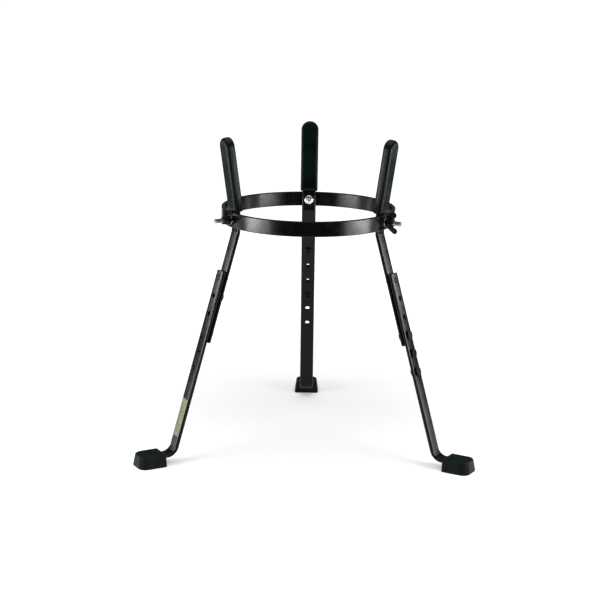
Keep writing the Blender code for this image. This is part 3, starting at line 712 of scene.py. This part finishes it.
def castNut():
    # The hub and wings are joined in one skin, and its corners are relaxed as a casting's are.
    base, top, tall, flange = wingNut["base"], wingNut["top"], wingNut["height"], wingNut["flange"]
    low, shoulder, high = wingNut["baseBevel"], wingNut["shoulder"], wingNut["topBevel"]
    x = [0, 0, low[0], flange, flange + shoulder[0], tall - high[0], tall, tall]
    r = [wingNut["middle"], base - low[1], base, base, base - shoulder[1], top, top - high[1],
         wingNut["middle"]]
    hub = closedGrid("wingNutForm", turned(x, r))
    for side in (1, -1):
        wing = closedGrid("wing", wingGrid(side))
        join = hub.modifiers.new("wing", "BOOLEAN")
        join.object, join.operation, join.solver = wing, "UNION", "EXACT"
        baked(hub)
        bpy.data.objects.remove(wing, do_unlink=True)
    skin = hub.modifiers.new("skin", "REMESH")
    skin.mode, skin.voxel_size, skin.use_smooth_shade = "VOXEL", wingNut["voxel"], True
    relax = hub.modifiers.new("relax", "SMOOTH")
    relax.factor, relax.iterations = 0.5, wingNut["smoothing"]
    baked(hub)
    bore = closedGrid("bore", pinGrid(tall / 2, wingNut["bore"], wingNut["boreRim"], 48))
    bore.data.transform(Matrix.Translation((tall / 2, 0, 0)))
    return smooth(cutWith(hub, [bore]), 50)


nutForm = castNut()
nutSeat = hoop["outer"] + 2 * bar["gap"] + washer["thick"]
for legName, spin in wingNut["turns"].items():
    place = (legMatrix(legName) @ Matrix.Translation((nutSeat, 0, leg["hoopHeight"]))
             @ Matrix.Rotation(spin, 4, "X"))
    obj = placedCopy(nutForm, legName + "WingNut", place)
    dress(obj, "blackZinc", legName + "_wing_nut_body", "black_zinc", legName + "_wing_nut")
bpy.data.objects.remove(nutForm, do_unlink=True)
print("wing nuts cast")


# Height bolts: button heads with a hexagon socket

heightBolt = {"radius": 0.004, "headRadius": 0.007, "headHeight": 0.0042, "rim": 0.00105,
              "socket": 0.005, "socketDepth": 0.0025, "socketLip": 0.0001, "socketMouth": 0.0003,
              "socketPoint": 0.0006, "holes": {"top": 0, "bottom": 3},
              "spin": 17, "spinPerHole": 23,
              "fillet": [(0.00002, 0.0005), (0.0002, 0.0002), (0.0005, 0), (0.004, 0)],
              "endBevel": [(0.0008, 0), (0.0003, 0.0004), (0, 0.0008)]}


def buttonBolt():
    # A head, a shank with a small fillet under the head, and a chamfered end. The socket is a
    # prism with six sides, wider at its mouth and pointed at its floor.
    tall = heightBolt["headHeight"]
    headX, headR = headProfile(heightBolt["headRadius"], tall, heightBolt["rim"])
    radius, end = heightBolt["radius"], 2 * (bar["thickness"] + bar["gap"])
    filletX, more = np.array(heightBolt["fillet"]).T
    bevelX, less = np.array(heightBolt["endBevel"]).T
    x = np.concatenate([headX, filletX, end - bevelX, [end]])
    r = np.concatenate([headR, radius + more, radius - less, [0.0001]])
    bolt = closedGrid("heightBoltForm", turned(x, r))
    top, floor = -tall, heightBolt["socketDepth"] - tall
    corner, mouth = heightBolt["socket"] / sqrt(3), heightBolt["socketMouth"]
    x = [2 * top, top - heightBolt["socketLip"], top + mouth, floor,
         floor + heightBolt["socketPoint"]]
    r = [corner + mouth, corner + mouth, corner, corner, 0.0002]
    return smooth(cutWith(bolt, [closedGrid("hexSocket", turned(x, r, 6))]), 35)


boltForm = buttonBolt()
for legName in stand["azimuths"]:
    for end, hole in heightBolt["holes"].items():
        spin = radians(heightBolt["spin"] + heightBolt["spinPerHole"] * hole)
        place = crossAxis(holePlaces[hole], -bar["thickness"] / 2 - bar["gap"])
        place = legMatrix(legName) @ place @ Matrix.Rotation(spin, 4, "X")
        obj = placedCopy(boltForm, legName + "HeightBolt" + end.title(), place)
        dress(obj, "blackZinc", "hoop_frame", "black_zinc", legName + "_height_bolt_" + end)
bpy.data.objects.remove(boltForm, do_unlink=True)
print("height bolts turned")


# Label: a thin blank strip with plain tick marks on the left lower bar. The ticks' sizes and
# places are shares of their step, of the strip's width (reach, inkFrom) or of its length.

label = {"from": 0.3065, "to": 0.3740, "width": 0.0202, "corner": 0.002, "thick": 0.00013,
         "above": 0.00003, "columns": 15, "rows": 16, "tipRows": 6,
         "paper": (0.185, 0.178, 0.068), "aged": (0.085, 0.080, 0.030),
         "ink": (0.008, 0.008, 0.006), "inkKept": (0.92, 0.62),
         "roughness": (0.34, 0.48), "wearScale": 240, "wearDetail": 5, "wearRoughness": 0.65,
         "wearDepth": 0.06, "wearHeight": 0.0003,
         "ticks": {"count": 15, "wide": 0.40, "reach": 0.50},
         "longTicks": {"count": 3, "wide": 0.09, "reach": 0.80},
         "inkHalfLength": 0.40, "inkFrom": 0.10}


def labelGrid():
    # Rows run down the leg. Each row goes across the strip's outer face and back across its inner
    # face, both lifted off the crowned bar by lift:
    # through = halfThrough - crown * (across / halfAcross)^2 + lift.
    low, high, half = label["from"], label["to"], label["width"] / 2
    tips = label["corner"] * (1 - np.cos(np.linspace(0, pi / 2, label["tipRows"])))
    rows = np.linspace(low, high, label["rows"] + 4)[2:-2]
    along = np.concatenate([low + tips, rows, high - tips[::-1]])
    near = np.clip(label["corner"] - np.minimum(along - low, high - along), 0, None)
    reach = half - label["corner"] + np.sqrt(label["corner"] ** 2 - near ** 2)
    share = np.linspace(1, -1, label["columns"])
    across = reach[:, None] * np.concatenate([share, share[::-1]])[None]
    lift = np.repeat([label["above"] + label["thick"], label["above"]], label["columns"])
    out = (leg["lap"] + bar["thickness"] / 2 + lift[None]
           - bar["crown"] * (across / (bar["width"] / 2)) ** 2)
    lean = leg["legLean"]
    grid = np.stack([leg["barX"] + along[:, None] * sin(lean) + out * cos(lean), across,
                     leg["lowerBendHeight"] - along[:, None] * cos(lean) + out * sin(lean)], -1)
    down = (along[:, None] - low) / (high - low)
    return grid, np.stack([across / label["width"] + 0.5, down + 0 * across], -1)


def markNode(nodes, links, kind, first, second=0.0):   # arithmetic on sockets or plain numbers
    step = nodes.new("ShaderNodeMath")
    step.operation = kind
    for socket, value in zip(step.inputs, (first, second)):
        if isinstance(value, (int, float)):
            socket.default_value = value
        else:
            links.new(value, socket)
    return step.outputs[0]


def labelFinish():   # aged paper with ink ticks along one side, longer at every fifth
    material = bpy.data.materials.new("labelFinish")
    material.use_nodes = True
    nodes, links = material.node_tree.nodes, material.node_tree.links
    shader = nodes["Principled BSDF"]
    place = nodes.new("ShaderNodeUVMap")
    place.uv_map = "labelPlace"
    split = nodes.new("ShaderNodeSeparateXYZ")
    links.new(place.outputs["UV"], split.inputs[0])
    across, along = split.outputs["X"], split.outputs["Y"]

    def mark(kind, *values):
        return markNode(nodes, links, kind, *values)

    def ticks(row):
        step = mark("FRACT", mark("MULTIPLY", along, row["count"]))
        return mark("MULTIPLY", mark("LESS_THAN", step, row["wide"]),
                    mark("LESS_THAN", across, row["reach"]))

    marks = mark("MAXIMUM", ticks(label["ticks"]), ticks(label["longTicks"]))
    middle = mark("LESS_THAN", mark("ABSOLUTE", mark("SUBTRACT", along, 0.5)),
                  label["inkHalfLength"])
    marks = mark("MULTIPLY", mark("MULTIPLY", marks, middle),
                 mark("GREATER_THAN", across, label["inkFrom"]))
    wear = noiseNode(nodes, links, label["wearScale"], label["wearDetail"], label["wearRoughness"])
    paper = colourNode(nodes, links, wear.outputs["Fac"], label["paper"], label["aged"])
    mix = nodes.new("ShaderNodeMix")
    mix.data_type = "RGBA"
    fade = rangeNode(nodes, links, wear.outputs["Fac"], *label["inkKept"], 0.4, 0.75)
    links.new(mark("MULTIPLY", marks, fade), mix.inputs["Factor"])
    links.new(paper, mix.inputs["A"])
    mix.inputs["B"].default_value = (*label["ink"], 1)
    links.new(mix.outputs["Result"], shader.inputs["Base Color"])
    links.new(rangeNode(nodes, links, wear.outputs["Fac"], *label["roughness"]),
              shader.inputs["Roughness"])
    links.new(bumpNode(nodes, links, wear.outputs["Fac"], label["wearDepth"], label["wearHeight"]),
              shader.inputs["Normal"])
    return material


def buildLabel():
    grid, place = labelGrid()
    obj = closedGrid("leftLabel", onLeg(grid, "left"))
    mesh = obj.data
    spots = np.concatenate([place.reshape(-1, 2), [[0.5, 0], [0.5, 1]]])
    corners = np.empty(len(mesh.loops), np.int32)
    mesh.loops.foreach_get("vertex_index", corners)
    layer = mesh.uv_layers.new(name="labelPlace")
    layer.data.foreach_set("uv", spots[corners].ravel())
    smooth(obj, 40)
    mesh.materials.append(labelFinish())
    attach(obj, "left_lower_leg")


buildLabel()
print("label laid")


# Camera, floor and lights

camera = {"place": (0.01344, -2.75162, 0.91460), "ahead": (-0.0094797, 0.97163964, -0.2362764),
          "up": (-0.0164417, 0.23610362, 0.97158878), "lens": 91.32}


def addCamera():
    data = bpy.data.cameras.new("photoCamera")
    data.lens = camera["lens"]
    data.sensor_width = 36
    data.clip_end = 200
    obj = bpy.data.objects.new("photoCamera", data)
    bpy.context.scene.collection.objects.link(obj)
    back = -Vector(camera["ahead"])
    up = Vector(camera["up"])
    side = up.cross(back).normalized()
    turn = Matrix((side, back.cross(side), back)).transposed()
    obj.matrix_world = Matrix.Translation(camera["place"]) @ turn.to_4x4()
    bpy.context.scene.camera = obj


# A panel's light is its brightness: its power in watts is pi * area * light. Panels and strips
# stand on both sides, at x = distance and -distance, and a card is given by its corners. The
# floor's glow rises from near to far with the distance from the origin.
studio = {
    "floorSize": 60, "floorColour": (0.80, 0.80, 0.80), "nearGlow": 0.23, "farGlow": 0.95,
    "nearReach": 0.2, "farReach": 1.0, "sky": 0.11,
    "panels": [
        {"distance": 0.80, "from": -0.61, "to": -0.23, "low": 0.27, "high": 0.37, "light": 36.0},
        {"distance": 0.80, "from": -0.82, "to": -0.61, "low": 0.20, "high": 0.58, "light": 11.0},
    ],
    "strips": [
        {"distance": 0.95, "from": 0.12, "to": 0.25, "low": 0.34, "high": 0.56, "light": 15.0},
        {"distance": 0.95, "from": 0.10, "to": 0.19, "low": 0.275, "high": 0.34, "light": 12.0},
        {"distance": 0.95, "from": 0.05, "to": 0.15, "low": 0.06, "high": 0.20, "light": 11.0},
        {"distance": 0.95, "from": 0.02, "to": 0.115, "low": 0.005, "high": 0.06, "light": 10.0},
    ],
    "top": {"height": 2.2, "size": 2.4, "light": 1.9},
    "cardColour": (0.01, 0.01, 0.01),
    "cards": [
        [(-0.85, -1.05, 0.02), (0.85, -1.05, 0.02), (0.85, -1.05, 1.00), (-0.85, -1.05, 1.00)],
        [(-0.96, 0.14, 0.01), (-0.96, 1.90, 0.01), (-0.96, 1.90, 0.75), (-0.96, 0.30, 0.75)],
        [(0.96, 0.14, 0.01), (0.96, 1.90, 0.01), (0.96, 1.90, 0.75), (0.96, 0.30, 0.75)],
    ],
}


def glowingFloor():   # pale floor that glows to the camera and in reflections, shadow and all
    material = bpy.data.materials.new("floorPaint")
    material.use_nodes = True
    nodes, links = material.node_tree.nodes, material.node_tree.links
    nodes.clear()
    out = nodes.new("ShaderNodeOutputMaterial")
    matt = nodes.new("ShaderNodeBsdfDiffuse")
    matt.inputs["Color"].default_value = (*studio["floorColour"], 1)
    glow = nodes.new("ShaderNodeEmission")
    path = nodes.new("ShaderNodeLightPath")
    seen = path.outputs["Is Camera Ray"]
    for ray in ("Is Glossy Ray", "Is Transmission Ray"):
        seen = markNode(nodes, links, "MAXIMUM", seen, path.outputs[ray])
    where = nodes.new("ShaderNodeTexCoord")
    away = nodes.new("ShaderNodeVectorMath")
    away.operation = "LENGTH"
    links.new(where.outputs["Object"], away.inputs[0])
    level = rangeNode(nodes, links, away.outputs["Value"], studio["nearGlow"], studio["farGlow"],
                      studio["nearReach"], studio["farReach"])
    links.new(markNode(nodes, links, "MULTIPLY", seen, level), glow.inputs["Strength"])
    both = nodes.new("ShaderNodeAddShader")
    links.new(matt.outputs[0], both.inputs[0])
    links.new(glow.outputs[0], both.inputs[1])
    links.new(both.outputs[0], out.inputs["Surface"])
    return material


def addLamp(name, place, aim, size, light, lights=True):
    data = bpy.data.lights.new(name, "AREA")
    data.shape = "RECTANGLE"
    data.size, data.size_y = size
    data.energy = pi * size[0] * size[1] * light
    obj = bpy.data.objects.new(name, data)
    bpy.context.scene.collection.objects.link(obj)
    obj.location = place
    obj.rotation_euler = (Vector(aim) - Vector(place)).to_track_quat("-Z", "Y").to_euler()
    obj.visible_camera = False
    obj.visible_diffuse = lights


def addCard(corners):   # upright dark card, seen only in reflections, as an unlit room is
    flag = addMesh("darkCard", np.array(corners), [(0, 1, 2, 3)])
    paint = bpy.data.materials.new("darkCardPaint")
    paint.use_nodes = True
    shader = paint.node_tree.nodes["Principled BSDF"]
    shader.inputs["Base Color"].default_value = (*studio["cardColour"], 1)
    shader.inputs["Roughness"].default_value = 1
    flag.data.materials.append(paint)
    flag.visible_camera = flag.visible_diffuse = flag.visible_shadow = False


def addStudio():
    corners = np.array([(-1, -1, 0), (1, -1, 0), (1, 1, 0), (-1, 1, 0)]) * studio["floorSize"] / 2
    floor = addMesh("floor", corners, [(0, 1, 2, 3)])
    floor.data.materials.append(glowingFloor())
    for panel in studio["panels"] + studio["strips"]:   # strips are seen in reflections alone
        size = panel["to"] - panel["from"], panel["high"] - panel["low"]
        y, z = (panel["to"] + panel["from"]) / 2, (panel["high"] + panel["low"]) / 2
        for side in (-1, 1):
            addLamp("sidePanel", (side * panel["distance"], y, z), (0, y, z), size, panel["light"],
                    panel in studio["panels"])
    top = studio["top"]
    size = top["size"], top["size"]
    addLamp("topPanel", (0, 0, top["height"]), (0, 0.01, 0), size, top["light"])
    for corners in studio["cards"]:
        addCard(corners)
    world = bpy.data.worlds.new("studioAir")
    world.use_nodes = True
    world.node_tree.nodes["Background"].inputs["Color"].default_value = (1, 1, 1, 1)
    world.node_tree.nodes["Background"].inputs["Strength"].default_value = studio["sky"]
    bpy.context.scene.world = world
    bpy.context.scene.view_settings.view_transform = "Standard"


addCamera()
addStudio()
print("studio lit")
